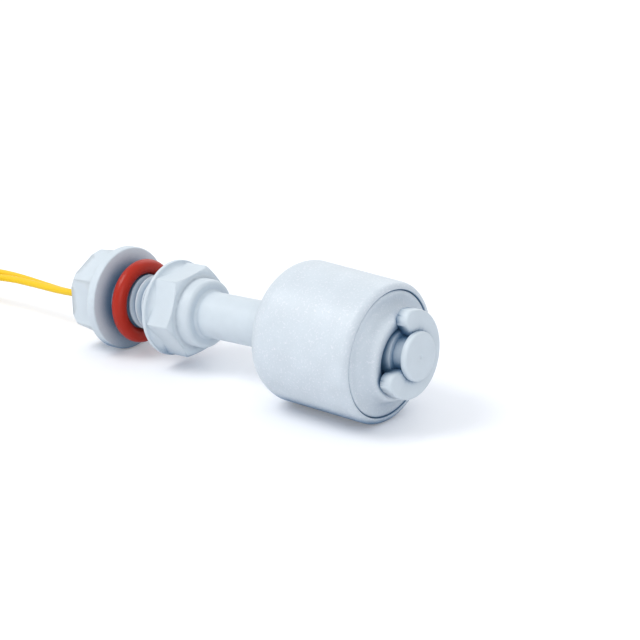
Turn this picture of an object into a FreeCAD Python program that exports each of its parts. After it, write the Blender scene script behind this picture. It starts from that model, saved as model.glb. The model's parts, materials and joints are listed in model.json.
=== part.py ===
import FreeCAD, Part

import math
import os

from FreeCAD import Placement, Rotation, Vector

# A small vertical float level switch lying on a flat surface. All sizes are in millimetres.
#
# The stem assembly is drawn on its own axis and then laid down. Along that axis, s = 0 is
# the sealing face of the disc, s grows towards the float, and the thread is at negative s.
# Angles about the axis start at the row's -Y side and grow upwards.
# The row frame has +Z up, the surface at z = 0 and +X from the wires towards the float.

# Stem moulding
THREAD_END = -19.4
THREAD_ROOT_R = 4.1
THREAD_BEVEL = 0.3
DISC_R = 8.34
DISC_THICK = 0.7
HOLLOW_END = 2.1
HOLLOW_R = 7.0
HEX_FLATS = 14.0
HEX_END = 5.8
HEX_CHAMFER = 1.2
HEX_FACE_R = 6.9
HEX_TURN = 53.5
HEX_ROUND = 0.3
DISC_ROUND = 0.15
BOSS_R = 5.96
BOSS_END = 8.4
BOSS_ROUND = 0.8
STEM_R = 4.0
STEM_FILLET = 0.5
GROOVE_START = 49.75
GROOVE_END = 51.95
NECK_R = 3.0
HEAD_R = 4.05
HEAD_END = 53.1
HEAD_BEVEL = 0.35
GATE_R = 0.4
GATE_DEPTH = 0.15
BORE_R = 2.1
BORE_END = 44.0

# Lock nut
NUT_FACE = -10.8
FLANGE_BACK = -12.6
FLANGE_R = 9.1
FLANGE_ROUND = 0.3
NUT_END = -18.4
NUT_BORE_R = 4.2
NUT_HEX_R = 8.5
NUT_END_HEX_R = 7.95
NUT_END_R = 7.3
NUT_CHAMFER = 0.9
NUT_TURN = 31.5
NUT_LEAD_IN = 0.4
NUT_ROUND = 0.4

# Sealing ring
RING_PLACE = -7.48
RING_TUBE_R = 1.30
RING_MEAN_R = 6.12

# Retaining clip
CLIP_THICK = 2.1
CLIP_GAP = 0.05
CLIP_R = 7.3
CLIP_CENTRE = 0.5
CLIP_TIP = 4.9
CLIP_SEAT_R = 3.03
CLIP_THROAT = 2.65
CLIP_THROAT_AT = 2.4
CLIP_MOUTH = 3.9
CLIP_TURN = 30.0
CLIP_ROUND = 0.45
CLIP_CORNER = 1.6

# Float, on its own axis: t = 0 is the seam plane, and t grows towards the clip
FLOAT_R = 11.75
FLOAT_BACK = -21.3
FLOAT_BACK_R = 11.9
FLOAT_ROUND_LONG = 4.0
FLOAT_ROUND_DEEP = 5.0
FLOAT_RIM_ROUND = 0.6
FLOAT_BORE_R = 5.05
FLOAT_WALL = 1.5
TUBE_R = 6.2
CAP_R = 10.5
CAP_SEAT_R = 10.55
CAP_THICK = 1.8
HUB_END = 2.5
HUB_CREST_R = 6.6
HUB_FOOT_R = 8.3
CAP_HOLLOW = 0.3
MAGNET_R = 8.3
MAGNET_START = -10.6
MAGNET_END = -4.8
MAGNET_GAP = 0.1
FLOAT_TRAVEL_REST = 0.02

# Reed switch and its joints inside the stem
REED_AT = 30.0
REED_LENGTH = 14.0
REED_R = 1.0
REED_WALL = 0.35
REED_LIFT = 0.9
LEAD_DROP = -1.2
REED_LEAD_R = 0.28
BLADE_WIDE = 0.8
BLADE_THICK = 0.18
BLADE_LAP = 0.8
BLADE_GAP = 0.06
JOINT_R = 0.5
JOINT_LENGTH = 3.0
SLEEVE_WALL = 0.15
POTTING_START = -19.2
POTTING_END = -6.0

# Wires
WIRE_R = 0.65
CORE_R = 0.32
WIRE_APART = 0.67
RUN_APART = 0.70
WIRE_LEAN = -24.5
EXIT_DROP = 0.95
COIL_CENTRE = (-59.5, -8.94)
COIL_MEAN_R = 7.6
COIL_WIDE = 4.1
COIL_HIGH = 5.4
COIL_PAIR_LOW = 1.82
TIE_THICK = 0.45
TIE_WIDE = 2.4
TIE_TURN = 250.0
TIP_LENGTH = 5.0

# How the assembly lies: the nut's flange and the float's wall both touch the surface
FLOAT_MIDDLE = 36.9
AXIS_RISE = 0.09


def lie_angle():
    """The stem's tilt, from the flange's radius and the height of the axis in the float."""
    span = FLOAT_MIDDLE - FLANGE_BACK - FLANGE_ROUND
    height = FLOAT_R + AXIS_RISE
    reach = math.hypot(FLANGE_R, span)
    return math.asin(height / reach) - math.atan2(FLANGE_R, span)


LIE = lie_angle()
# The shell is drafted, a little wider at its closed back end, and lies on that slope
DRAFT = math.atan2(FLOAT_BACK_R - FLOAT_R, -FLOAT_RIM_ROUND - FLOAT_BACK - FLOAT_ROUND_LONG)
# The flange rests on the back edge of its cylindrical band, at s = FLANGE_BACK + FLANGE_ROUND
DISC_Z = FLANGE_R * math.cos(LIE) - (FLANGE_BACK + FLANGE_ROUND) * math.sin(LIE)
# The overall length runs from the thread's end to the head, and the origin is at its middle
LOW_X = THREAD_END * math.cos(LIE) - (THREAD_ROOT_R - THREAD_BEVEL) * math.sin(LIE)
HIGH_X = HEAD_END * math.cos(LIE) + (HEAD_R - HEAD_BEVEL) * math.sin(LIE)
DISC_X = -(LOW_X + HIGH_X) / 2
STEM_PLACE = Placement(Vector(DISC_X, 0, DISC_Z), Rotation(Vector(0, 1, 0), -math.degrees(LIE)))

X = Vector(1, 0, 0)


def about_axis(radius, degrees, s=0.0):
    """A point at a radius and an angle about the x axis."""
    turn = math.radians(degrees)
    return Vector(s, -radius * math.cos(turn), radius * math.sin(turn))


def on_stem(s, y, u):
    """A point given in stem coordinates, in the row frame."""
    return STEM_PLACE.multVec(Vector(s, y, u))


def outline(points):
    """A wire from points, with (middle, end) pairs for arcs."""
    edges = []
    here = Vector(*points[0])
    for step in points[1:]:
        if isinstance(step[0], tuple):
            middle, end = (Vector(*p) for p in step)
            edges.append(Part.Arc(here, middle, end).toShape())
        else:
            end = Vector(*step)
            edges.append(Part.makeLine(here, end))
        here = end
    if here.distanceToPoint(Vector(*points[0])) > 1e-6:
        edges.append(Part.makeLine(here, Vector(*points[0])))
    return Part.Wire(edges)


def soft_corner(outer, deep, long, share=0.7071):
    """A corner that is longer one way than the other, as the (middle, end) pair of an arc.

    outer is the corner point; the arc runs from (outer x, radius less deep) to (outer x plus
    long, outer radius), through the middle of the matching quarter ellipse.
    """
    x, r = outer
    return ((x + long * (1 - share), r - deep * (1 - share)), (x + long, r))


def turned(profile):
    """The solid of revolution of a profile of (x, radius) points about the x axis."""

    def lift(p):
        return (p[0], 0, p[1])

    points = [
        tuple(lift(q) for q in p) if isinstance(p[0], tuple) else lift(p) for p in profile
    ]
    face = Part.Face(outline(points))
    return face.revolve(Vector(0, 0, 0), X, 360)


def corner(centre, radius, start, end):
    """A rounded corner as the (middle, end) pair of an arc about a centre, angles in degrees."""

    def at(degrees):
        turn = math.radians(degrees)
        return (centre[0] + radius * math.cos(turn), centre[1] + radius * math.sin(turn))

    return (at((start + end) / 2), at(end))


def cylinder(radius, start, end):
    return Part.makeCylinder(radius, end - start, Vector(start, 0, 0), X)


def hexagon(corner_r, s, turn):
    points = [about_axis(corner_r, turn + 60 * k, s) for k in range(6)]
    return Part.makePolygon(points + points[:1])


def hex_prism(corner_r, start, other_r, end, turn, edge_round):
    """A straight or drafted hexagon with its six long edges rounded."""
    prism = Part.makeLoft([hexagon(corner_r, start, turn), hexagon(other_r, end, turn)], True, True)
    long_edges = [e for e in prism.Edges if e.BoundBox.XLength > abs(end - start) / 2]
    return prism.makeFillet(edge_round, long_edges)


def blended_arc(points, fraction=0.45):
    """A path through points as straight runs and tangent arcs, with the arcs' radii."""
    edges = []
    radii = []
    here = points[0]
    for before, at, after in zip(points, points[1:], points[2:]):
        run_in = (at - before).normalize()
        run_out = (after - at).normalize()
        half_turn = run_in.getAngle(run_out) / 2
        cut = fraction * min((at - before).Length, (after - at).Length)
        radius = cut / math.tan(half_turn)
        start = at - run_in * cut
        end = at + run_out * cut
        bulge = (run_out - run_in).normalize()
        middle = at + bulge * (radius / math.cos(half_turn) - radius)
        edges.append(Part.makeLine(here, start))
        edges.append(Part.Arc(start, middle, end).toShape())
        radii.append(radius)
        here = end
    edges.append(Part.makeLine(here, points[-1]))
    return Part.Wire(edges), radii


def tube(points, radius):
    """A round solid along a path of runs and tangent arcs."""
    path, radii = blended_arc(points)
    start = points[0]
    along = (points[1] - points[0]).normalize()
    section = Part.Wire(Part.Circle(start, along, radius).toShape())
    solid = path.makePipeShell([section], True, False)
    expected = math.pi * radius**2 * path.Length
    print(f"tube {path.Length:.1f} mm, volume share {solid.Volume / expected:.4f}, radii",
          " ".join(f"{r:.1f}" for r in radii))
    return solid


# The moulded stem: thread core, sealing disc, hexagon, boss, stem, groove and head


def disc_and_hollow():
    """The disc, with the concave run down behind it that leaves a crescent beside each flat."""
    depth = HOLLOW_END - DISC_THICK
    drop = DISC_R - HOLLOW_R
    middle = (DISC_THICK + depth * 0.22, HOLLOW_R + drop * 0.34)
    return turned([
        (0, 0),
        (0, DISC_R - DISC_ROUND),
        corner((DISC_ROUND, DISC_R - DISC_ROUND), DISC_ROUND, 180, 90),
        (DISC_THICK - DISC_ROUND, DISC_R),
        corner((DISC_THICK - DISC_ROUND, DISC_R - DISC_ROUND), DISC_ROUND, 90, 0),
        (middle, (HOLLOW_END, HOLLOW_R)),
        (HOLLOW_END, 0),
    ])


def stem_hexagon():
    corner_r = HEX_FLATS / math.sqrt(3)
    prism = hex_prism(corner_r, DISC_THICK / 2, corner_r, HEX_END, HEX_TURN, HEX_ROUND)
    rounder = turned([
        (0, 0),
        (0, DISC_R),
        (HEX_END - HEX_CHAMFER, DISC_R),
        ((HEX_END - HEX_CHAMFER * 0.42, (DISC_R + HEX_FACE_R) / 2 + 0.16), (HEX_END, HEX_FACE_R)),
        (HEX_END, 0),
    ])
    return prism.common(rounder)


def stem_body():
    boss_round = corner((BOSS_END - BOSS_ROUND, BOSS_R - BOSS_ROUND), BOSS_ROUND, 90, 0)
    foot = (BOSS_END + STEM_FILLET, STEM_R + STEM_FILLET)
    core = turned([
        (THREAD_END, 0),
        (THREAD_END, THREAD_ROOT_R - THREAD_BEVEL),
        (THREAD_END + THREAD_BEVEL, THREAD_ROOT_R),
        (0.2, THREAD_ROOT_R),
        (0.2, BOSS_R),
        (BOSS_END - BOSS_ROUND, BOSS_R),
        boss_round,
        (BOSS_END, foot[1]),
        corner(foot, STEM_FILLET, 180, 270),
        (GROOVE_START, STEM_R),
        (GROOVE_START, NECK_R),
        (GROOVE_END, NECK_R),
        (GROOVE_END, HEAD_R),
        (HEAD_END - HEAD_BEVEL, HEAD_R),
        (HEAD_END, HEAD_R - HEAD_BEVEL),
        (HEAD_END, GATE_R),
        (HEAD_END - GATE_DEPTH, GATE_R * 0.6),
        (HEAD_END - GATE_DEPTH, 0),
    ])
    body = core.fuse([disc_and_hollow(), stem_hexagon()])
    bore = turned([
        (THREAD_END - 1, 0),
        (THREAD_END - 1, BORE_R),
        (BORE_END - 0.6, BORE_R),
        (BORE_END, BORE_R - 0.6),
        (BORE_END, 0),
    ])
    return body.cut(bore).removeSplitter()


# The lock nut: a drafted hexagon on a washer flange


def lock_nut():
    band = turned([
        (NUT_FACE, 0),
        (NUT_FACE, FLANGE_R - FLANGE_ROUND),
        corner((NUT_FACE - FLANGE_ROUND, FLANGE_R - FLANGE_ROUND), FLANGE_ROUND, 0, 90),
        (FLANGE_BACK + FLANGE_ROUND, FLANGE_R),
        corner((FLANGE_BACK + FLANGE_ROUND, FLANGE_R - FLANGE_ROUND), FLANGE_ROUND, 90, 180),
        (FLANGE_BACK, 0),
    ])
    prism = hex_prism(NUT_HEX_R, FLANGE_BACK + 0.5, NUT_END_HEX_R, NUT_END, NUT_TURN, NUT_ROUND)
    rounder = turned([
        (NUT_FACE, 0),
        (NUT_FACE, NUT_HEX_R + 1),
        (NUT_END + NUT_CHAMFER, NUT_HEX_R + 1),
        (NUT_END + NUT_CHAMFER, NUT_END_HEX_R),
        (NUT_END, NUT_END_R),
        (NUT_END, 0),
    ])
    bore = turned([
        (NUT_FACE + 1, 0),
        (NUT_FACE + 1, NUT_BORE_R + NUT_LEAD_IN + 1),
        (NUT_FACE - NUT_LEAD_IN, NUT_BORE_R),
        (NUT_END + NUT_LEAD_IN, NUT_BORE_R),
        (NUT_END - 1, NUT_BORE_R + NUT_LEAD_IN + 1),
        (NUT_END - 1, 0),
    ])
    return band.fuse(prism.common(rounder)).cut(bore).removeSplitter()


def sealing_ring():
    return Part.makeTorus(RING_MEAN_R, RING_TUBE_R, Vector(RING_PLACE, 0, 0), X)


# The retaining clip: a thick snap ring with its mouth at the viewer's upper side


def retaining_clip():
    start = GROOVE_START + CLIP_GAP
    # m runs towards the mouth and n across it
    tip_n = math.sqrt(CLIP_R**2 - (CLIP_TIP - CLIP_CENTRE) ** 2)
    seat_m = math.sqrt(CLIP_SEAT_R**2 - CLIP_THROAT**2)

    def at(m, n):
        turn = math.radians(CLIP_TURN)
        return (
            0,
            -m * math.cos(turn) - n * math.sin(turn),
            m * math.sin(turn) - n * math.cos(turn),
        )

    wire = outline([
        at(CLIP_TIP, -CLIP_MOUTH),
        at(CLIP_TIP, -tip_n),
        (at(CLIP_CENTRE - CLIP_R, 0), at(CLIP_TIP, tip_n)),
        at(CLIP_TIP, CLIP_MOUTH),
        at(CLIP_THROAT_AT, CLIP_THROAT),
        at(seat_m, CLIP_THROAT),
        (at(-CLIP_SEAT_R, 0), at(seat_m, -CLIP_THROAT)),
        at(CLIP_THROAT_AT, -CLIP_THROAT),
    ])
    plate = Part.Face(wire).extrude(Vector(CLIP_THICK, 0, 0))
    corners = []
    for edge in plate.Edges:
        middle = edge.CenterOfMass
        along_x = edge.BoundBox.XLength > CLIP_THICK / 2
        if along_x and math.hypot(middle.y, middle.z) > 6:
            corners.append(edge)
    plate = plate.makeFillet(CLIP_CORNER, corners)
    front = [e for e in plate.Edges
             if abs(e.CenterOfMass.x - CLIP_THICK) < 1e-6 and e.BoundBox.XLength < 1e-6
             and min(math.hypot(v.Point.y, v.Point.z) for v in e.Vertexes) > CLIP_SEAT_R + 0.4]
    plate = plate.makeFillet(CLIP_ROUND, front)
    plate.translate(Vector(start, 0, 0))
    return plate


# The float: a moulded shell with a centre tube, an end cap and a magnet inside


def float_shell():
    inner_r = FLOAT_R - FLOAT_WALL
    back_inner = FLOAT_BACK + FLOAT_WALL
    inner_deep = FLOAT_ROUND_DEEP - FLOAT_WALL
    inner_long = FLOAT_ROUND_LONG - FLOAT_WALL / 2
    inner_middle, inner_end = soft_corner((back_inner, inner_r), inner_deep, inner_long)
    outer = turned([
        (FLOAT_BACK, FLOAT_BORE_R + 0.3),
        (FLOAT_BACK, FLOAT_BACK_R - FLOAT_ROUND_DEEP),
        soft_corner((FLOAT_BACK, FLOAT_BACK_R), FLOAT_ROUND_DEEP, FLOAT_ROUND_LONG),
        (-FLOAT_RIM_ROUND, FLOAT_R),
        corner((-FLOAT_RIM_ROUND, FLOAT_R - FLOAT_RIM_ROUND), FLOAT_RIM_ROUND, 90, 0),
        (0, CAP_SEAT_R + 0.15),
        (-0.15, CAP_SEAT_R),
        (-CAP_THICK, CAP_SEAT_R),
        (-CAP_THICK, inner_r),
        inner_end,
        (inner_middle, (back_inner, inner_r - inner_deep)),
        (back_inner, TUBE_R),
        (-CAP_THICK, TUBE_R),
        (-CAP_THICK, FLOAT_BORE_R),
        (FLOAT_BACK + 0.3, FLOAT_BORE_R),
    ])
    return outer


def float_end_cap():
    hub_outer = HUB_CREST_R + 0.55
    return turned([
        (-CAP_THICK, FLOAT_BORE_R),
        (HUB_END - 0.9, FLOAT_BORE_R),
        ((HUB_END - 0.22, FLOAT_BORE_R + 0.3), (HUB_END, FLOAT_BORE_R + 0.9)),
        (HUB_END, HUB_CREST_R),
        ((HUB_END - 0.25, hub_outer - 0.12), (HUB_END - 0.75, hub_outer + 0.1)),
        ((0.35, HUB_FOOT_R - 0.45), (-CAP_HOLLOW, HUB_FOOT_R + 0.35)),
        (0, CAP_R - 0.4),
        (-0.35, CAP_R),
        (-CAP_THICK, CAP_R),
    ])


def ring_magnet():
    return turned([
        (MAGNET_START, TUBE_R + MAGNET_GAP),
        (MAGNET_START, MAGNET_R - 0.2),
        (MAGNET_START + 0.2, MAGNET_R),
        (MAGNET_END - 0.2, MAGNET_R),
        (MAGNET_END, MAGNET_R - 0.2),
        (MAGNET_END, TUBE_R + MAGNET_GAP),
    ])


# The reed switch: two blades sealed in a glass tube, soldered to the wires under sleeves


def reed_glass():
    half = REED_LENGTH / 2
    inner_r = REED_R - REED_WALL
    end_inner = half - 2.0
    outer = turned([
        (REED_AT - half, 0),
        (REED_AT - half, REED_R * 0.45),
        ((REED_AT - half + 0.3, REED_R * 0.85), (REED_AT - half + 1.0, REED_R)),
        (REED_AT + half - 1.0, REED_R),
        ((REED_AT + half - 0.3, REED_R * 0.85), (REED_AT + half, REED_R * 0.45)),
        (REED_AT + half, 0),
    ])
    hollow = turned([
        (REED_AT - end_inner, 0),
        (REED_AT - end_inner + 0.6, inner_r),
        (REED_AT + end_inner - 0.6, inner_r),
        (REED_AT + end_inner, 0),
    ])
    shape = outer.cut(hollow)
    shape.translate(Vector(0, 0, REED_LIFT))
    return shape.cut(reed_blade(-1)).cut(reed_blade(1))


def reed_blade(side):
    """A flat blade in the glass and the round lead it was pressed from.

    The near lead runs straight out, and the far one turns back beside the glass.
    """
    out = REED_LENGTH / 2 + 1.6
    flat_start = REED_LENGTH / 2 - 2.6
    lift = side * (BLADE_THICK + BLADE_GAP) / 2
    blade = Part.makeBox(
        flat_start + BLADE_LAP + 0.2,
        BLADE_WIDE,
        BLADE_THICK,
        Vector(-BLADE_LAP, -BLADE_WIDE / 2, -BLADE_THICK / 2 + lift),
    )
    lead = Part.makeCylinder(REED_LEAD_R, out - flat_start, Vector(flat_start, 0, 0), X)
    shape = blade.fuse(lead)
    if side > 0:
        bend_r = (REED_LIFT - LEAD_DROP) / 2
        section = Part.Wire(Part.Circle(Vector(out, 0, 0), X, REED_LEAD_R).toShape())
        low = -2 * bend_r
        path = Part.Wire([
            Part.Arc(Vector(out, 0, 0), Vector(out + bend_r, 0, -bend_r), Vector(out, 0, low)).toShape(),
            Part.makeLine(Vector(out, 0, low), Vector(out - 2.6, 0, low)),
        ])
        shape = shape.fuse(path.makePipeShell([section], True, False))
        shape.translate(Vector(REED_AT, 0, REED_LIFT))
    else:
        shape.rotate(Vector(0, 0, 0), Vector(0, 0, 1), 180)
        shape.translate(Vector(REED_AT, 0, REED_LIFT))
    return shape.removeSplitter()


NEAR_JOINT = REED_AT - REED_LENGTH / 2 - 2.8
FAR_JOINT = REED_AT + REED_LENGTH / 2 - 2.0


def solder_joint(at, height, leads):
    """A tapered fillet of solder over a reed lead's end and a wire's end."""
    half = JOINT_LENGTH / 2
    blob = turned([
        (at - half, 0),
        (at - half, CORE_R + 0.03),
        ((at, JOINT_R), (at + half, CORE_R + 0.03)),
        (at + half, 0),
    ])
    blob.translate(Vector(0, 0, height))
    return blob.cut(leads)


def shrink_sleeve(at, height):
    outer = JOINT_R + 0.02 + SLEEVE_WALL
    start = at - JOINT_LENGTH / 2 - 0.05
    end = at + JOINT_LENGTH / 2 + 0.05
    sleeve = cylinder(outer, start, end).cut(cylinder(outer - SLEEVE_WALL, start, end))
    sleeve.translate(Vector(0, 0, height))
    return sleeve


def inner_lead(side, to_s, to_u):
    """A wire from the thread's end up the bore to its joint, in stem coordinates."""
    exit_y, exit_u = exit_point(side)
    points = [
        Vector(THREAD_END, exit_y, exit_u),
        Vector(THREAD_END + 11, exit_y * 0.95, exit_u + 0.1),
        Vector(-1, side * WIRE_APART * 0.8, (exit_u + to_u) / 2),
        Vector(to_s - 9, side * 0.25, to_u - 0.04),
        Vector(to_s, 0, to_u),
    ]
    return tube(points, WIRE_R)


def exit_point(side):
    """Where a wire leaves the potting, across (y) and above (u) the stem's axis."""
    lean = math.radians(WIRE_LEAN)
    return (
        side * WIRE_APART * math.cos(lean),
        -EXIT_DROP + side * WIRE_APART * math.sin(lean),
    )


def potting_plug(leads):
    plug = cylinder(BORE_R, POTTING_START, POTTING_END)
    for lead in leads:
        plug = plug.cut(lead)
    return plug


# The wires outside: a free run each, one coil on the surface, and a tail with a bare tip


def wire_route(side):
    """The free run's points: x from the disc, half the wires' spacing, lean, height."""
    stations = [
        (-26.5, -24.5, 6.62),
        (-34.0, -12.0, 6.25),
        (-41.5, 8.0, 5.98),
        (-48.0, 36.0, 5.55),
        (-52.5, 62.0, 5.08),
        (-56.8, 84.0, 4.56),
    ]
    start = on_stem(THREAD_END, *exit_point(side))
    points = [start]
    for x, lean, height in stations:
        turn = math.radians(lean)
        points.append(Vector(
            DISC_X + x,
            side * RUN_APART * math.cos(turn),
            height + side * RUN_APART * math.sin(turn),
        ))
    return points


def coil_solid():
    """The closed outer shape of both wires' turns, flat on the surface."""
    round_r = WIRE_R
    low = TIE_THICK
    high = TIE_THICK + COIL_HIGH
    inner = COIL_MEAN_R - COIL_WIDE / 2
    outer = COIL_MEAN_R + COIL_WIDE / 2

    def lift(p):
        return (p[0], 0, p[1])

    def arc(centre, start, end):
        return tuple(lift(p) for p in corner(centre, round_r, start, end))

    wire = outline([
        lift((inner + round_r, low)),
        lift((outer - round_r, low)),
        arc((outer - round_r, low + round_r), -90, 0),
        lift((outer, high - round_r)),
        arc((outer - round_r, high - round_r), 0, 90),
        lift((inner + round_r, high)),
        arc((inner + round_r, high - round_r), 90, 180),
        lift((inner, low + round_r)),
        arc((inner + round_r, low + round_r), 180, 270),
    ])
    ring = Part.Face(wire).revolve(Vector(0, 0, 0), Vector(0, 0, 1), 360)
    ring.translate(Vector(DISC_X + COIL_CENTRE[0], COIL_CENTRE[1], 0))
    return ring


def coil_tie():
    """A strap round the bundle, closed by a small square head on its outside."""
    wide = COIL_WIDE + 2 * TIE_THICK
    high = COIL_HIGH + 2 * TIE_THICK
    bundle = Part.makeBox(COIL_WIDE, TIE_WIDE * 3, COIL_HIGH,
                          Vector(-COIL_WIDE / 2, -TIE_WIDE * 1.5, TIE_THICK))
    strap = Part.makeBox(wide, TIE_WIDE, high, Vector(-wide / 2, -TIE_WIDE / 2, 0))
    strap = strap.makeFillet(TIE_THICK + WIRE_R, [
        e for e in strap.Edges if e.BoundBox.YLength > TIE_WIDE / 2
    ])
    bundle = bundle.makeFillet(WIRE_R, [
        e for e in bundle.Edges if e.BoundBox.YLength > TIE_WIDE
    ])
    head = Part.makeBox(2.0, TIE_WIDE + 1.4, 2.4,
                        Vector(wide / 2 - 0.2, -TIE_WIDE / 2 - 0.7, high / 2 - 1.2))
    tie = strap.fuse(head.makeFillet(0.3, head.Edges)).cut(bundle)
    tie.translate(Vector(COIL_MEAN_R, 0, 0))
    tie.rotate(Vector(0, 0, 0), Vector(0, 0, 1), TIE_TURN)
    tie.translate(Vector(DISC_X + COIL_CENTRE[0], COIL_CENTRE[1], 0))
    return tie.cut(coil_solid()).removeSplitter()


def tail_route(side):
    """From the coil's lowest layer out to the stripped end, all on the surface."""
    x = DISC_X + COIL_CENTRE[0]
    stations = [
        (-1.5, 0.0, COIL_PAIR_LOW + side * WIRE_APART),
        (-6.5, 0.95, COIL_PAIR_LOW - 0.40 + side * 0.50),
        (-11.0, 2.10, 0.95 + side * 0.15),
        (-15.0, 3.60, WIRE_R + 0.02),
    ]
    return [Vector(x + along, side * across, height) for along, across, height in stations]


def bare_tip(points):
    """The tinned strands past the insulation."""
    along = (points[-1] - points[-2]).normalize()
    flat = Vector(along.x, along.y, 0).normalize()
    return Part.makeCylinder(CORE_R, TIP_LENGTH, points[-1], flat)


# The pieces


def placed_on_stem(shape):
    shape.Placement = STEM_PLACE.multiply(shape.Placement)
    return shape


def seam_x():
    """The float's seam plane when its hub rests against the clip."""
    clip_face = GROOVE_START + CLIP_GAP - FLOAT_TRAVEL_REST
    hub_touch = clip_face - HUB_CREST_R * math.tan(LIE + DRAFT)
    lean = FLOAT_R * math.sin(DRAFT)
    return DISC_X + hub_touch * math.cos(LIE) - HUB_END - lean


def placed_as_float(shape):
    shape.rotate(Vector(0, 0, -FLOAT_R), Vector(0, 1, 0), math.degrees(DRAFT))
    shape.translate(Vector(seam_x(), 0, FLOAT_R))
    return shape


def all_pieces():
    lead_a = inner_lead(-1, NEAR_JOINT - JOINT_LENGTH / 2 - 0.1, REED_LIFT)
    lead_b = inner_lead(1, FAR_JOINT - JOINT_LENGTH / 2 - 0.1, LEAD_DROP)
    near_blade = reed_blade(-1)
    far_blade = reed_blade(1)
    on_the_stem = {
        "stem_body": stem_body(),
        "lock_nut": lock_nut(),
        "sealing_ring": sealing_ring(),
        "retaining_clip": retaining_clip(),
        "reed_glass": reed_glass(),
        "reed_blade_near": near_blade,
        "reed_blade_far": far_blade,
        "solder_joint_near": solder_joint(NEAR_JOINT, REED_LIFT, near_blade),
        "solder_joint_far": solder_joint(FAR_JOINT, LEAD_DROP, far_blade),
        "shrink_sleeve_near": shrink_sleeve(NEAR_JOINT, REED_LIFT),
        "shrink_sleeve_far": shrink_sleeve(FAR_JOINT, LEAD_DROP),
        "potting_plug": potting_plug([lead_a, lead_b]),
        "lead_a_inner": lead_a,
        "lead_b_inner": lead_b,
    }
    in_the_float = {
        "float_shell": float_shell(),
        "float_end_cap": float_end_cap(),
        "ring_magnet": ring_magnet(),
    }
    pieces = {name: placed_on_stem(shape) for name, shape in on_the_stem.items()}
    pieces.update({name: placed_as_float(shape) for name, shape in in_the_float.items()})
    pieces["lead_coil"] = coil_solid()
    pieces["coil_tie"] = coil_tie()
    for name, side in (("lead_a", -1), ("lead_b", 1)):
        tail = tail_route(side)
        pieces[f"{name}_run"] = tube(wire_route(side), WIRE_R).cut(pieces[f"{name}_inner"])
        pieces[f"{name}_tail"] = tube(tail, WIRE_R)
        pieces[f"{name}_tip"] = bare_tip(tail)
    return pieces


os.makedirs("parts", exist_ok=True)
print(f"lie {math.degrees(LIE):.3f} deg, disc at x {DISC_X:.3f} z {DISC_Z:.3f}, seam x {seam_x():.3f}")
for name, shape in all_pieces().items():
    solids = shape.Solids
    box = shape.BoundBox
    print(f"{name}: {len(solids)} solid, valid {shape.isValid()}, {shape.Volume:.2f} mm3, "
          f"x {box.XMin:.2f} {box.XMax:.2f} y {box.YMin:.2f} {box.YMax:.2f} z {box.ZMin:.2f} {box.ZMax:.2f}")
    (solids[0] if len(solids) == 1 else shape).exportStep(f"parts/{name}.step")
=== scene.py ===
import json
import math

import bpy
from bpy.props import FloatProperty, FloatVectorProperty, PointerProperty
from bpy.types import Operator, Panel, PropertyGroup
from mathutils import Matrix, Vector


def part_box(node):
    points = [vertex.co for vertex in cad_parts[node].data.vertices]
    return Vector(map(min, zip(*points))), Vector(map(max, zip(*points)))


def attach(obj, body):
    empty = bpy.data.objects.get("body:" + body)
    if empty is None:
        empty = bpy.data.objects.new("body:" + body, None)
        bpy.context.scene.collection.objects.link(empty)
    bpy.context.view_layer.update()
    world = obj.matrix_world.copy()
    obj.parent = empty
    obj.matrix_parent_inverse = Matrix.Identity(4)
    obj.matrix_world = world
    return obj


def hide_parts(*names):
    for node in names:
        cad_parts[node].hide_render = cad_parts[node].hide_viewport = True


bl_info = {
    "name": "Float level switch",
    "version": (1, 0, 0),
    "blender": (4, 5, 0),
    "location": "View3D > Sidebar > Float switch",
    "description": "Dresses a small moulded float switch lying on a white surface",
    "category": "Object",
}

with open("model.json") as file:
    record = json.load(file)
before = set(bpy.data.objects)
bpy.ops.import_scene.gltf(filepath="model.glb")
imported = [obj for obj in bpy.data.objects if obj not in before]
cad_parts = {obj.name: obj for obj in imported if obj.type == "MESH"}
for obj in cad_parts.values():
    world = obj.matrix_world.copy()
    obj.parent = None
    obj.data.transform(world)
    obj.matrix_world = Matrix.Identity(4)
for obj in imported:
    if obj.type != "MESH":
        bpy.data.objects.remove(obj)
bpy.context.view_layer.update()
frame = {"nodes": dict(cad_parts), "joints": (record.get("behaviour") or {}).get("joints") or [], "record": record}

MM = 0.001
JOINTS = {joint["name"]: joint for joint in frame["joints"]}
MOUNTS = {mount["name"]: mount for mount in frame["record"]["mounts"]}
STEM_AXIS = Vector(JOINTS["nut_travel"]["axis"]).normalized()
NUT_PIVOT = Vector(JOINTS["nut_spin"]["pos_m"])
FACE_POINT = Vector(MOUNTS["sealing_face"]["pos_m"])
# The middle of the disc's sealing face, from which sizes along the stem are counted
DISC = NUT_PIVOT + STEM_AXIS * (FACE_POINT - NUT_PIVOT).dot(STEM_AXIS)
LIE = math.atan2(STEM_AXIS.z, STEM_AXIS.x)
STEM_PLACE = Matrix.Translation(DISC) @ Matrix.Rotation(-LIE, 4, "Y")
FLOAT_LOW, FLOAT_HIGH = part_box("float_shell")

# The wires' free run, in millimetres: along x from the disc, turn of the pair, height.
# It follows the solids' route and rises a little higher along its middle.
WIRE_ROUTE = ((-26.5, -24.5, 6.82), (-34.0, -12.0, 6.90), (-41.5, 8.0, 6.90),
              (-48.0, 36.0, 6.20), (-52.5, 62.0, 5.35), (-56.8, 84.0, 4.60))
THREAD_END = -19.4

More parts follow.
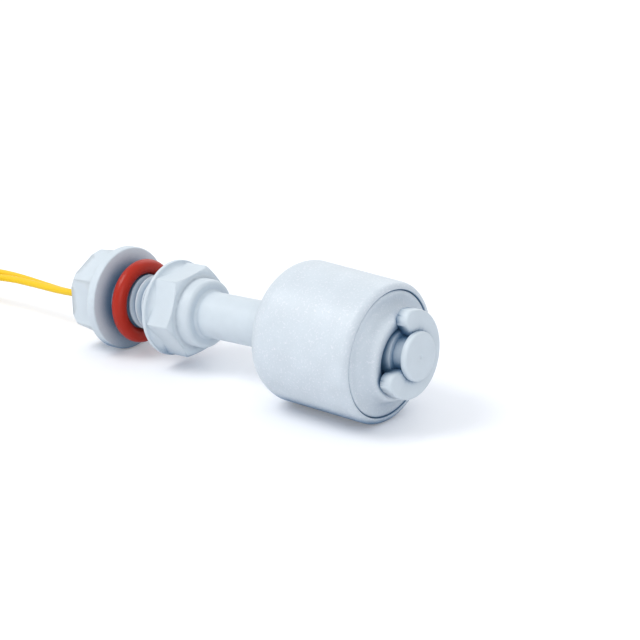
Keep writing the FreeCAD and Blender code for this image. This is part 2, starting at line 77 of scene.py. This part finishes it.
# The float's own frame: its axis lies along x from the seam, tipped by the mould's draft
FLOAT_R = 11.75
FLOAT_DRAFT = math.radians(0.515)
SEAM_BACK = 0.205
FLOAT_PLACE = (Matrix.Translation((FLOAT_HIGH.x - SEAM_BACK * MM,
                                   (FLOAT_LOW.y + FLOAT_HIGH.y) / 2, 0))
               @ Matrix.Rotation(FLOAT_DRAFT, 4, "Y")
               @ Matrix.Translation((0, 0, FLOAT_R * MM)))

# Turned outlines, as (along the axis, radius) in millimetres. The cap's is counted from
# the seam, and the head's from the sealing disc.
CAP_PROFILE = (
    (-1.8, 5.05), (1.6, 5.05), (2.0, 5.09), (2.2, 5.22), (2.33, 5.5), (2.42, 5.85),
    (2.48, 6.2), (2.5, 6.5), (2.45, 6.82), (2.28, 7.08), (1.95, 7.3), (1.5, 7.46),
    (1.0, 7.64), (0.5, 7.92), (0.1, 8.3), (-0.15, 8.75), (-0.2, 9.25), (-0.12, 9.75),
    (-0.12, 10.15), (-0.22, 10.38), (-0.45, 10.5), (-1.8, 10.5), (-1.8, 5.05))
HEAD_CUT = 48.9
HEAD_PROFILE = (
    (HEAD_CUT, 0.0), (HEAD_CUT, 4.0), (49.6, 4.0), (49.72, 3.95), (49.75, 3.85), (49.75, 3.0),
    (51.95, 3.0), (51.95, 3.9), (51.98, 4.0), (52.08, 4.05), (52.6, 4.05), (52.82, 4.01),
    (52.97, 3.9), (53.06, 3.74), (53.1, 3.5), (53.1, 3.2), (53.1, 0.46), (53.07, 0.38),
    (52.96, 0.24), (52.95, 0.0))


# ---------------------------------------------------------------- settings


class FLOATSWITCH_PG_sizes(PropertyGroup):
    wire_diameter: FloatProperty(
        name="Wire diameter", description="Outside diameter of each insulated wire",
        default=1.3 * MM, min=0.8 * MM, max=2.0 * MM, subtype="DISTANCE", unit="LENGTH")
    wire_length: FloatProperty(
        name="Wire length", description="Length of each wire outside the stem",
        default=335 * MM, min=0.1, max=1.0, subtype="DISTANCE", unit="LENGTH")
    thread_pitch: FloatProperty(
        name="Thread pitch", description="Advance of the stem's thread in one turn",
        default=1.5 * MM, min=1.0 * MM, max=2.0 * MM, subtype="DISTANCE", unit="LENGTH")
    thread_crest: FloatProperty(
        name="Thread crest radius", description="Radius of the thread's crests",
        default=4.8 * MM, min=4.5 * MM, max=5.0 * MM, subtype="DISTANCE", unit="LENGTH")


def colour_setting(name, description, default):
    return FloatVectorProperty(
        name=name, description=description, default=default,
        min=0.0, max=1.0, size=3, subtype="COLOR")


class FLOATSWITCH_PG_colours(PropertyGroup):
    plastic: colour_setting(
        "Moulded plastic", "Pale blue-grey polypropylene of the stem, nut and clip",
        (0.60, 0.665, 0.715))
    float_plastic: colour_setting(
        "Float plastic", "Slightly paler polypropylene of the float",
        (0.605, 0.665, 0.715))
    seal: colour_setting("Sealing ring", "Red silicone of the ring", (0.40, 0.014, 0.002))
    wire: colour_setting("Wire", "Yellow insulation of both wires", (0.86, 0.56, 0.015))
    floor: colour_setting("Surface", "White surface under the switch", (0.86, 0.87, 0.90))


def sizes():
    return bpy.context.scene.floatswitch_sizes


def colours():
    return bpy.context.scene.floatswitch_colours


# ---------------------------------------------------------------- shared shader groups


def new_group(name, inputs, outputs):
    """A shader node group with float or vector sockets, and its input and output nodes."""
    group = bpy.data.node_groups.new(name, "ShaderNodeTree")
    for label, kind, value in inputs:
        socket = group.interface.new_socket(label, in_out="INPUT", socket_type=kind)
        if value is not None:
            socket.default_value = value
    for label, kind in outputs:
        group.interface.new_socket(label, in_out="OUTPUT", socket_type=kind)
    return group, group.nodes.new("NodeGroupInput"), group.nodes.new("NodeGroupOutput")


def node(tree, kind, **settings):
    made = tree.nodes.new(kind)
    for key, value in settings.items():
        if key.startswith("in_"):
            made.inputs[key[3:].replace("_", " ")].default_value = value
        else:
            setattr(made, key, value)
    return made


def grain_group():
    """Fine moulded grain: a height for bump and a soft mottling mask."""
    group, given, result = new_group(
        "MouldedGrain",
        [("Scale", "NodeSocketFloat", 2500.0), ("Mottle Scale", "NodeSocketFloat", 260.0)],
        [("Height", "NodeSocketFloat"), ("Mottle", "NodeSocketFloat")])
    link = group.links.new
    where = node(group, "ShaderNodeTexCoord")
    fine = node(group, "ShaderNodeTexNoise", in_Detail=4.0, in_Roughness=0.65)
    coarse = node(group, "ShaderNodeTexNoise", in_Detail=3.0, in_Roughness=0.5)
    link(where.outputs["Object"], fine.inputs["Vector"])
    link(where.outputs["Object"], coarse.inputs["Vector"])
    link(given.outputs["Scale"], fine.inputs["Scale"])
    link(given.outputs["Mottle Scale"], coarse.inputs["Scale"])
    link(fine.outputs["Fac"], result.inputs["Height"])
    link(coarse.outputs["Fac"], result.inputs["Mottle"])
    return group


# ---------------------------------------------------------------- materials


def empty_material(name):
    material = bpy.data.materials.new(name)
    material.use_nodes = True
    tree = material.node_tree
    tree.nodes.clear()
    output = tree.nodes.new("ShaderNodeOutputMaterial")
    shader = tree.nodes.new("ShaderNodeBsdfPrincipled")
    tree.links.new(shader.outputs["BSDF"], output.inputs["Surface"])
    return material, tree, shader


# Painted shade: a deep blue mixed into the plastic's colour in hollows, and how far across a hollow counts
PAINTED_SHADE_BLUE = (0.09, 0.20, 0.34, 1.0)
PAINTED_SHADE_REACH = 5.0 * MM
# Pale flecks of the mould's texture, and their number of waves in a metre
FLECK_WHITE = (0.84, 0.84, 0.90, 1.0)
FLECK_SCALE = 2900.0
# A Mix node's colour sockets by number, because its names repeat for each data type
MIX_FACTOR, MIX_A, MIX_B, MIX_RESULT = 0, 6, 7, 2


def moulded_plastic(name, colour, grain, roughness, bump, speckle=0.0):
    """Satin polypropylene: grain, mottling, pale flecks and painted shade of deep blue in hollows."""
    material, tree, shader = empty_material(name)
    link = tree.links.new
    texture = tree.nodes.new("ShaderNodeGroup")
    texture.node_tree = bpy.data.node_groups["MouldedGrain"]
    texture.inputs["Scale"].default_value = grain
    tone = node(tree, "ShaderNodeMapRange", in_From_Min=0.3, in_From_Max=0.7,
                in_To_Min=0.97, in_To_Max=1.03)
    tint = node(tree, "ShaderNodeVectorMath", operation="SCALE")
    tint.inputs[0].default_value = colour
    # Painted shade: ambient occlusion mixes the colour towards a deep blue in hollows and crevices
    shade_occlusion = node(tree, "ShaderNodeAmbientOcclusion", samples=8,
                   in_Distance=PAINTED_SHADE_REACH)
    painted_shade_amount = node(tree, "ShaderNodeMapRange", interpolation_type="SMOOTHSTEP",
                 in_From_Min=0.15, in_From_Max=0.84)
    painted_shade = node(tree, "ShaderNodeMix", data_type="RGBA", blend_type="MIX")
    painted_shade.inputs[MIX_A].default_value = PAINTED_SHADE_BLUE
    gloss = node(tree, "ShaderNodeMapRange", in_From_Min=0.3, in_From_Max=0.7,
                 in_To_Min=roughness - 0.05 - speckle, in_To_Max=roughness + 0.05)
    relief = node(tree, "ShaderNodeBump", in_Strength=bump, in_Distance=0.05 * MM)
    link(texture.outputs["Mottle"], tone.inputs["Value"])
    link(tone.outputs["Result"], tint.inputs["Scale"])
    link(shade_occlusion.outputs["AO"], painted_shade_amount.inputs["Value"])
    link(painted_shade_amount.outputs["Result"], painted_shade.inputs[MIX_FACTOR])
    flecks = node(tree, "ShaderNodeTexNoise", in_Scale=FLECK_SCALE, in_Detail=2.0,
                  in_Roughness=0.6)
    caught = node(tree, "ShaderNodeMapRange", in_From_Min=0.56, in_From_Max=0.70,
                  in_To_Max=speckle * 6.0)
    where = node(tree, "ShaderNodeTexCoord")
    fleck = node(tree, "ShaderNodeMix", data_type="RGBA", blend_type="MIX")
    fleck.inputs[MIX_B].default_value = FLECK_WHITE
    link(where.outputs["Object"], flecks.inputs["Vector"])
    link(flecks.outputs["Fac"], caught.inputs["Value"])
    link(caught.outputs["Result"], fleck.inputs[MIX_FACTOR])
    link(tint.outputs["Vector"], fleck.inputs[MIX_A])
    link(fleck.outputs[MIX_RESULT], painted_shade.inputs[MIX_B])
    link(painted_shade.outputs[MIX_RESULT], shader.inputs["Base Color"])
    link(texture.outputs["Height"], gloss.inputs["Value"])
    link(gloss.outputs["Result"], shader.inputs["Roughness"])
    link(texture.outputs["Height"], relief.inputs["Height"])
    link(relief.outputs["Normal"], shader.inputs["Normal"])
    shader.inputs["IOR"].default_value = 1.49
    shader.inputs["Specular IOR Level"].default_value = 0.45
    return material


def plain_finish(name, colour, roughness, metallic=0.0, coat=0.0, bump=0.15, grain=3000.0):
    """A smooth finish with a faint grain, for rubber, wire, metal and small trim."""
    material, tree, shader = empty_material(name)
    link = tree.links.new
    texture = tree.nodes.new("ShaderNodeGroup")
    texture.node_tree = bpy.data.node_groups["MouldedGrain"]
    texture.inputs["Scale"].default_value = grain
    gloss = node(tree, "ShaderNodeMapRange", in_From_Min=0.3, in_From_Max=0.7,
                 in_To_Min=roughness - 0.06, in_To_Max=roughness + 0.06)
    relief = node(tree, "ShaderNodeBump", in_Strength=bump, in_Distance=0.02 * MM)
    link(texture.outputs["Mottle"], gloss.inputs["Value"])
    link(gloss.outputs["Result"], shader.inputs["Roughness"])
    link(texture.outputs["Height"], relief.inputs["Height"])
    link(relief.outputs["Normal"], shader.inputs["Normal"])
    shader.inputs["Base Color"].default_value = (*colour, 1.0)
    shader.inputs["Metallic"].default_value = metallic
    shader.inputs["Coat Weight"].default_value = coat
    shader.inputs["Specular IOR Level"].default_value = 0.3
    return material


def clear_glass(name):
    material, tree, shader = empty_material(name)
    shader.inputs["Base Color"].default_value = (0.86, 0.95, 0.91, 1.0)
    shader.inputs["Roughness"].default_value = 0.03
    shader.inputs["Transmission Weight"].default_value = 1.0
    shader.inputs["IOR"].default_value = 1.5
    return material


# ---------------------------------------------------------------- modelling helpers


def deselect():
    if bpy.context.object and bpy.context.object.mode != "OBJECT":
        bpy.ops.object.mode_set(mode="OBJECT")
    bpy.ops.object.select_all(action="DESELECT")


def choose(obj):
    deselect()
    obj.hide_viewport = False
    obj.select_set(True)
    bpy.context.view_layer.objects.active = obj


def place(obj, matrix):
    """Puts a piece where it belongs and applies that to its mesh."""
    obj.matrix_world = matrix
    choose(obj)
    bpy.ops.object.transform_apply(location=True, rotation=True, scale=True)


def smooth(obj, angle=35.0):
    choose(obj)
    bpy.ops.object.shade_smooth_by_angle(angle=math.radians(angle))


def finish_piece(obj, name, material, body):
    obj.name = name
    obj.data.name = name
    obj.data.materials.clear()
    obj.data.materials.append(material)
    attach(obj, body)


def copy_of(node_name, merge=0.002 * MM):
    """A merged copy of a solid's mesh, to be softened or given finer detail."""
    source = frame["nodes"][node_name]
    copy = bpy.data.objects.new(node_name + "_copy", source.data.copy())
    bpy.context.scene.collection.objects.link(copy)
    choose(copy)
    bpy.ops.object.mode_set(mode="EDIT")
    bpy.ops.mesh.select_all(action="SELECT")
    bpy.ops.mesh.remove_doubles(threshold=merge)
    bpy.ops.object.mode_set(mode="OBJECT")
    return copy


def spun(profile, steps=128):
    """A closed turned piece: its profile is extruded point by point, then spun round x."""
    deselect()
    bpy.ops.mesh.primitive_plane_add(size=0.001, location=(0, 0, 0))
    piece = bpy.context.object
    bpy.ops.object.mode_set(mode="EDIT")
    bpy.ops.mesh.select_all(action="SELECT")
    bpy.ops.mesh.merge(type="CENTER")
    bpy.ops.object.mode_set(mode="OBJECT")
    points = [Vector((along, 0, radius)) * MM for along, radius in profile]
    piece.data.vertices[0].co = points[0]
    piece.data.vertices[0].select = True
    bpy.ops.object.mode_set(mode="EDIT")
    for here, there in zip(points, points[1:]):
        bpy.ops.mesh.extrude_vertices_move(
            TRANSFORM_OT_translate={"value": tuple(there - here)})
    bpy.ops.mesh.select_all(action="SELECT")
    bpy.ops.mesh.spin(steps=steps, angle=2 * math.pi, center=(0, 0, 0), axis=(1, 0, 0))
    bpy.ops.mesh.select_all(action="SELECT")
    bpy.ops.mesh.remove_doubles(threshold=0.0005 * MM)
    bpy.ops.mesh.normals_make_consistent(inside=False)
    bpy.ops.object.mode_set(mode="OBJECT")
    return piece


# ---------------------------------------------------------------- camera and wires


class FLOATSWITCH_OT_camera(Operator):
    """Sets the camera above and in front of the float's end"""
    bl_idname = "floatswitch.camera"
    bl_label = "Camera"

    def execute(self, context):
        data = bpy.data.cameras.new("Camera")
        data.lens = 112.5
        data.sensor_width = 36.0
        data.clip_start = 0.01
        data.clip_end = 20.0
        camera = bpy.data.objects.new("Camera", data)
        context.scene.collection.objects.link(camera)
        camera.location = (DISC.x + 226.70 * MM, DISC.y - 238.66 * MM, 124.14 * MM)
        azimuth, elevation, roll = (math.radians(angle) for angle in (39.14, 19.62, -0.49))
        turn = (Matrix.Rotation(azimuth, 3, "Z")
                @ Matrix.Rotation(math.pi / 2 - elevation, 3, "X")
                @ Matrix.Rotation(roll, 3, "Z"))
        camera.rotation_euler = turn.to_euler()
        context.scene.camera = camera
        return {"FINISHED"}


WIRE_APART = 0.67
RUN_APART = 0.70
EXIT_LEAN = -24.5
EXIT_DROP = 0.95
COIL_CENTRE = (-59.5, -8.94)
COIL_MEAN_R = 7.6
COIL_PAIR_LOW = 1.82
COIL_PAIR_HIGH = 4.48


def wire_points(side):
    """One wire's route from the potting, through the coil's turns, to its tail."""
    lean = math.radians(EXIT_LEAN)
    start = STEM_PLACE @ (Vector((
        THREAD_END,
        side * WIRE_APART * math.cos(lean),
        -EXIT_DROP + side * WIRE_APART * math.sin(lean))) * MM)
    points = [start]
    for x, turn, height in WIRE_ROUTE:
        turn = math.radians(turn)
        points.append(Vector((
            DISC.x + x * MM,
            side * RUN_APART * math.cos(turn) * MM,
            (height + side * RUN_APART * math.sin(turn)) * MM)))
    points += coil_points(side)
    points += tail_points(side)
    return points


def coil_points(side):
    """Turns of the upright pair: inwards along the upper layer, then outwards along the lower."""
    lane_apart = sizes().wire_diameter / MM + 0.04
    per_turn = 16
    centre_x = DISC.x / MM + COIL_CENTRE[0]
    lanes = [(1, COIL_PAIR_HIGH), (0, COIL_PAIR_HIGH), (-1, COIL_PAIR_HIGH),
             (-1, COIL_PAIR_LOW), (0, COIL_PAIR_LOW), (1, COIL_PAIR_LOW)]
    lanes.append(lanes[-1])
    points = []
    for (lane, height), (next_lane, next_height) in zip(lanes, lanes[1:]):
        for step in range(per_turn):
            share = step / per_turn
            shift = smooth_step((share - 0.70) / 0.30)
            radius = COIL_MEAN_R + lane_apart * (lane + (next_lane - lane) * shift)
            angle = math.radians(90 + 360 * share)
            points.append(Vector((
                centre_x + radius * math.cos(angle),
                COIL_CENTRE[1] + radius * math.sin(angle),
                height + (next_height - height) * shift + side * WIRE_APART)) * MM)
    return points


def smooth_step(share):
    share = min(max(share, 0.0), 1.0)
    return share * share * (3 - 2 * share)


def tail_points(side):
    """From the coil's lower layer to the stripped end, down on to the surface."""
    x = DISC.x / MM + COIL_CENTRE[0]
    route = (
        (-1.5, 0.0, COIL_PAIR_LOW + side * WIRE_APART),
        (-6.5, 0.95, COIL_PAIR_LOW - 0.40 + side * 0.50),
        (-11.0, 2.10, 0.95 + side * 0.15),
        (-15.0, 3.60, 0.67))
    return [Vector((x + along, side * across, height)) * MM for along, across, height in route]


def measured(points_curve):
    """The length of a curve object's own line, taken from a bare copy of it."""
    bare = points_curve.copy()
    bare.data = points_curve.data.copy()
    bare.data.bevel_depth = 0.0
    bpy.context.scene.collection.objects.link(bare)
    line = bpy.data.meshes.new_from_object(
        bare.evaluated_get(bpy.context.evaluated_depsgraph_get()))
    length = sum((line.vertices[a].co - line.vertices[b].co).length
                 for a, b in (edge.vertices for edge in line.edges))
    bpy.data.meshes.remove(line)
    bpy.data.curves.remove(bare.data)
    return length


class FLOATSWITCH_OT_wires(Operator):
    """Lays both wires from the potting, through the coil, to their bare ends"""
    bl_idname = "floatswitch.wires"
    bl_label = "Wires"

    def execute(self, context):
        for name, side in (("lead_a", -1), ("lead_b", 1)):
            points = wire_points(side)
            data = bpy.data.curves.new(name + "_wire", "CURVE")
            data.dimensions = "3D"
            data.resolution_u = 8
            data.bevel_depth = sizes().wire_diameter / 2
            data.bevel_resolution = 5
            data.use_fill_caps = True
            spline = data.splines.new("NURBS")
            spline.points.add(len(points) - 1)
            for slot, point in zip(spline.points, points):
                slot.co = (*point, 1.0)
            spline.order_u = 3
            spline.use_endpoint_u = True
            wire = bpy.data.objects.new(name + "_wire", data)
            context.scene.collection.objects.link(wire)
            data.materials.append(bpy.data.materials["YellowInsulation"])
            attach(wire, "stem")
            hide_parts(name + "_run", "lead_coil", name + "_tail")
            length = measured(wire)
            print(name, "length", round(length * 1000, 1), "mm")
        return {"FINISHED"}


# ---------------------------------------------------------------- materials operator


class FLOATSWITCH_OT_finishes(Operator):
    """Builds the materials and gives each solid its finish"""
    bl_idname = "floatswitch.finishes"
    bl_label = "Finishes"

    def execute(self, context):
        grain_group()
        tone = colours()
        moulded_plastic("StemPlastic", tone.plastic, 1800.0, 0.42, 0.12)
        moulded_plastic("FloatPlastic", tone.float_plastic, 2600.0, 0.45, 0.45, 0.08)
        plain_finish("RedSilicone", tone.seal, 0.34)
        plain_finish("YellowInsulation", tone.wire, 0.38, bump=0.08)
        plain_finish("DarkFerrite", (0.03, 0.03, 0.032), 0.6)
        plain_finish("NickelIron", (0.55, 0.52, 0.46), 0.3, metallic=1.0)
        plain_finish("TinSolder", (0.42, 0.43, 0.45), 0.4, metallic=1.0)
        plain_finish("BlackSleeve", (0.015, 0.015, 0.015), 0.5)
        plain_finish("DarkEpoxy", (0.02, 0.018, 0.016), 0.25, coat=0.3)
        plain_finish("TinnedCopper", (0.55, 0.53, 0.50), 0.35, metallic=1.0)
        plain_finish("NaturalNylon", (0.75, 0.74, 0.70), 0.45)
        clear_glass("ReedGlass")
        finishes = {
            "StemPlastic": ("stem_body", "lock_nut", "retaining_clip"),
            "FloatPlastic": ("float_shell", "float_end_cap"),
            "RedSilicone": ("sealing_ring",),
            "DarkFerrite": ("ring_magnet",),
            "NickelIron": ("reed_blade_near", "reed_blade_far"),
            "TinSolder": ("solder_joint_near", "solder_joint_far"),
            "BlackSleeve": ("shrink_sleeve_near", "shrink_sleeve_far"),
            "DarkEpoxy": ("potting_plug",),
            "YellowInsulation": ("lead_a_inner", "lead_b_inner"),
            "TinnedCopper": ("lead_a_tip", "lead_b_tip"),
            "NaturalNylon": ("coil_tie",),
            "ReedGlass": ("reed_glass",),
        }
        for material, nodes in finishes.items():
            for name in nodes:
                mesh = frame["nodes"][name].data
                mesh.materials.clear()
                mesh.materials.append(bpy.data.materials[material])
        return {"FINISHED"}


# ---------------------------------------------------------------- thread


class FLOATSWITCH_OT_thread(Operator):
    """Winds the thread's ridge round the stem's core"""
    bl_idname = "floatswitch.thread"
    bl_label = "Thread"

    def execute(self, context):
        pitch = sizes().thread_pitch
        crest = sizes().thread_crest
        root = 4.02 * MM
        start = (THREAD_END + 0.75) * MM
        turns = int((-start - 0.4 * MM) / pitch)
        deselect()
        bpy.ops.mesh.primitive_plane_add(size=1.0, location=(0, 0, 0))
        ridge = context.object
        half_root, half_crest = 0.46 * pitch, 0.09 * pitch
        corners = {(-1, -1): (-half_root, root), (1, -1): (half_root, root),
                   (-1, 1): (-half_crest, crest), (1, 1): (half_crest, crest)}
        for vertex in ridge.data.vertices:
            key = (round(vertex.co.x * 2), round(vertex.co.y * 2))
            along, radius = corners[key]
            vertex.co = (start + along, 0.0, radius)
        choose(ridge)
        bpy.ops.object.mode_set(mode="EDIT")
        bpy.ops.mesh.select_all(action="SELECT")
        bpy.ops.mesh.delete(type="ONLY_FACE")
        bpy.ops.object.mode_set(mode="OBJECT")
        screw = ridge.modifiers.new("Helix", "SCREW")
        screw.axis = "X"
        screw.angle = 2 * math.pi
        screw.screw_offset = pitch
        screw.iterations = turns
        screw.steps = 72
        screw.render_steps = 72
        screw.use_smooth_shade = True
        bpy.ops.object.modifier_apply(modifier="Helix")
        bpy.ops.object.mode_set(mode="EDIT")
        bpy.ops.mesh.select_all(action="DESELECT")
        bpy.ops.mesh.select_non_manifold(extend=False)
        bpy.ops.mesh.edge_face_add()
        bpy.ops.mesh.select_all(action="SELECT")
        bpy.ops.mesh.normals_make_consistent(inside=False)
        bpy.ops.object.mode_set(mode="OBJECT")
        place(ridge, STEM_PLACE)
        smooth(ridge, 25.0)
        finish_piece(ridge, "stem_thread", bpy.data.materials["StemPlastic"], "stem")
        return {"FINISHED"}


# ---------------------------------------------------------------- moulded pieces


# The shell's rim: what counts as rim, and how much its rounding grows
RIM_BACK = -0.65
RIM_INNER_R = 11.1
RIM_DEEPER = 1.9
RIM_WIDER = 1.7
# The clip's mouth, in degrees: where its middle faces, and how far each end springs
MOUTH_TURN = 30.0
LOWER_SPRING = 8.0
UPPER_SPRING = 3.0
AREA_WEIGHT = 90


class FLOATSWITCH_OT_mouldings(Operator):
    """Turns the cap and the stem's head, and softens the other mouldings on merged copies"""
    bl_idname = "floatswitch.mouldings"
    bl_label = "Mouldings"

    def soften_rim(self, shell):
        """Rounds the shell's rim from its seat for the cap right out to its side."""
        into = FLOAT_PLACE.inverted()
        for vertex in shell.data.vertices:
            along, y, z = (into @ vertex.co) / MM
            radius = math.hypot(y, z)
            if along > RIM_BACK and radius > RIM_INNER_R:
                grown = (FLOAT_R - (FLOAT_R - radius) * RIM_WIDER) / radius
                vertex.co = FLOAT_PLACE @ (
                    Vector((along * RIM_DEEPER, y * grown, z * grown)) * MM)

    def open_clip(self, clip):
        """Springs the clip's two ends apart to the width of the real one's mouth."""
        into = STEM_PLACE.inverted()
        for vertex in clip.data.vertices:
            along, y, z = into @ vertex.co
            radius = math.hypot(y, z)
            off = (math.degrees(math.atan2(z, -y)) - MOUTH_TURN + 180.0) % 360.0 - 180.0
            spring = LOWER_SPRING if off < 0 else UPPER_SPRING
            off += math.copysign(spring * (1 - abs(off) / 180.0), off)
            turn = math.radians(off + MOUTH_TURN)
            vertex.co = STEM_PLACE @ Vector((
                along, -radius * math.cos(turn), radius * math.sin(turn)))

    def cut_head(self, stem):
        """Cuts the stem off short of its groove, where the turned head takes over."""
        choose(stem)
        bpy.ops.object.mode_set(mode="EDIT")
        bpy.ops.mesh.select_all(action="SELECT")
        bpy.ops.mesh.bisect(plane_co=STEM_PLACE @ Vector((HEAD_CUT * MM, 0, 0)),
                            plane_no=STEM_AXIS, use_fill=True, clear_outer=True)
        bpy.ops.object.mode_set(mode="OBJECT")

    def turn_pieces(self):
        """The end cap, which replaces its solid, and the head that ends the stem."""
        cap = spun(CAP_PROFILE)
        place(cap, FLOAT_PLACE)
        smooth(cap, 40.0)
        finish_piece(cap, "float_end_cap_skin", bpy.data.materials["FloatPlastic"], "float")
        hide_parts("float_end_cap")
        head = spun(HEAD_PROFILE)
        place(head, STEM_PLACE)
        smooth(head, 40.0)
        finish_piece(head, "stem_head", bpy.data.materials["StemPlastic"], "stem")

    def soften(self, piece, angle):
        """Smooths a copy below an angle, with normals that favour its larger faces."""
        smooth(piece, angle)
        weighted = piece.modifiers.new("Weighted normals", "WEIGHTED_NORMAL")
        weighted.keep_sharp = True
        weighted.weight = AREA_WEIGHT
        choose(piece)
        bpy.ops.object.modifier_apply(modifier=weighted.name)

    def execute(self, context):
        self.turn_pieces()
        shapers = {"float_shell": self.soften_rim, "retaining_clip": self.open_clip,
                   "stem_body": self.cut_head}
        for name, material, body, slot, angle in (
                ("stem_body", "StemPlastic", "stem", "stem_plastic", 32.0),
                ("lock_nut", "StemPlastic", "nut", "nut_plastic", 32.0),
                ("retaining_clip", "StemPlastic", "stem", "clip_plastic", 50.0),
                ("float_shell", "FloatPlastic", "float", "float_plastic", 50.0),
                ("sealing_ring", "RedSilicone", "seal", "seal_rubber", 60.0)):
            piece = copy_of(name)
            if name in shapers:
                shapers[name](piece)
            self.soften(piece, angle)
            finish_piece(piece, name + "_skin", bpy.data.materials[material], body)
            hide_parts(name)
        return {"FINISHED"}


# ---------------------------------------------------------------- stage


def area_light(name, place_at, look_at, size, energy, colour=(1.0, 1.0, 1.0)):
    data = bpy.data.lights.new(name, "AREA")
    data.shape = "DISK"
    data.size = size
    data.energy = energy
    data.color = colour
    lamp = bpy.data.objects.new(name, data)
    bpy.context.scene.collection.objects.link(lamp)
    lamp.location = place_at
    lamp.rotation_mode = "QUATERNION"
    lamp.rotation_quaternion = (Vector(look_at) - Vector(place_at)).to_track_quat("-Z", "Y")
    return lamp


DOME_STRENGTH = 0.75
FLOOR_GLOW = 0.15


class FLOATSWITCH_OT_stage(Operator):
    """Adds the white surface, the sky and the soft lamps"""
    bl_idname = "floatswitch.stage"
    bl_label = "Stage"

    def execute(self, context):
        scene = context.scene
        scene.view_settings.view_transform = "Standard"
        world = bpy.data.worlds.new("Studio")
        scene.world = world
        world.use_nodes = True
        tree = world.node_tree
        tree.nodes.clear()
        out = tree.nodes.new("ShaderNodeOutputWorld")
        path = tree.nodes.new("ShaderNodeLightPath")
        seen = node(tree, "ShaderNodeMath", operation="MAXIMUM")
        seen_too = node(tree, "ShaderNodeMath", operation="MAXIMUM")
        dome = node(tree, "ShaderNodeBackground", in_Color=(0.93, 0.96, 1.0, 1.0),
                    in_Strength=DOME_STRENGTH)
        white = node(tree, "ShaderNodeBackground", in_Color=(1.0, 1.0, 1.0, 1.0), in_Strength=1.0)
        mix = tree.nodes.new("ShaderNodeMixShader")
        link = tree.links.new
        link(path.outputs["Is Camera Ray"], seen.inputs[0])
        link(path.outputs["Is Glossy Ray"], seen.inputs[1])
        link(seen.outputs[0], seen_too.inputs[0])
        link(path.outputs["Is Transmission Ray"], seen_too.inputs[1])
        link(seen_too.outputs[0], mix.inputs["Fac"])
        link(dome.outputs[0], mix.inputs[1])
        link(white.outputs[0], mix.inputs[2])
        link(mix.outputs[0], out.inputs["Surface"])

        deselect()
        bpy.ops.mesh.primitive_plane_add(size=6.0, location=(0, 0, -0.00005))
        floor = context.object
        floor.name = "surface"
        material, tree, shader = empty_material("WhiteSurface")
        link = tree.links.new
        shader.inputs["Base Color"].default_value = (*colours().floor, 1.0)
        shader.inputs["Roughness"].default_value = 0.9
        shader.inputs["Specular IOR Level"].default_value = 0.1
        path = tree.nodes.new("ShaderNodeLightPath")
        glow = node(tree, "ShaderNodeEmission", in_Color=(1.0, 1.0, 1.0, 1.0))
        seen = node(tree, "ShaderNodeMath", operation="MULTIPLY")
        seen.inputs[1].default_value = FLOOR_GLOW
        add = tree.nodes.new("ShaderNodeAddShader")
        output = next(n for n in tree.nodes if n.type == "OUTPUT_MATERIAL")
        link(path.outputs["Is Camera Ray"], seen.inputs[0])
        link(seen.outputs[0], glow.inputs["Strength"])
        link(shader.outputs[0], add.inputs[0])
        link(glow.outputs[0], add.inputs[1])
        link(add.outputs[0], output.inputs["Surface"])
        floor.data.materials.append(material)

        target = (10 * MM, 0, 8 * MM)
        area_light("KeyLamp", (-0.25, -0.30, 0.55), target, 0.35, 1.8, (1.0, 0.99, 0.97))
        area_light("FillLamp", (0.45, -0.45, 0.30), target, 0.5, 0.8, (0.95, 0.97, 1.0))
        area_light("BackLamp", (-0.1, 0.5, 0.4), target, 0.5, 0.8)
        return {"FINISHED"}


# ---------------------------------------------------------------- panel and registration


STEPS = (
    FLOATSWITCH_OT_camera,
    FLOATSWITCH_OT_finishes,
    FLOATSWITCH_OT_wires,
    FLOATSWITCH_OT_thread,
    FLOATSWITCH_OT_mouldings,
    FLOATSWITCH_OT_stage,
)


class FLOATSWITCH_PT_panel(Panel):
    bl_idname = "FLOATSWITCH_PT_panel"
    bl_label = "Float switch"
    bl_space_type = "VIEW_3D"
    bl_region_type = "UI"
    bl_category = "Float switch"

    def draw(self, context):
        for group in (sizes(), colours()):
            for key in group.bl_rna.properties.keys():
                if key not in {"rna_type", "name"}:
                    self.layout.prop(group, key)
        for step in STEPS:
            self.layout.operator(step.bl_idname)


CLASSES = (FLOATSWITCH_PG_sizes, FLOATSWITCH_PG_colours, *STEPS, FLOATSWITCH_PT_panel)


def register():
    for cls in CLASSES:
        bpy.utils.register_class(cls)
    bpy.types.Scene.floatswitch_sizes = PointerProperty(type=FLOATSWITCH_PG_sizes)
    bpy.types.Scene.floatswitch_colours = PointerProperty(type=FLOATSWITCH_PG_colours)


def unregister():
    del bpy.types.Scene.floatswitch_colours
    del bpy.types.Scene.floatswitch_sizes
    for cls in reversed(CLASSES):
        bpy.utils.unregister_class(cls)


def main():
    register()
    bpy.ops.floatswitch.camera()
    bpy.ops.floatswitch.finishes()
    bpy.ops.floatswitch.wires()
    bpy.ops.floatswitch.thread()
    bpy.ops.floatswitch.mouldings()
    bpy.ops.floatswitch.stage()


if __name__ == "__main__":
    main()
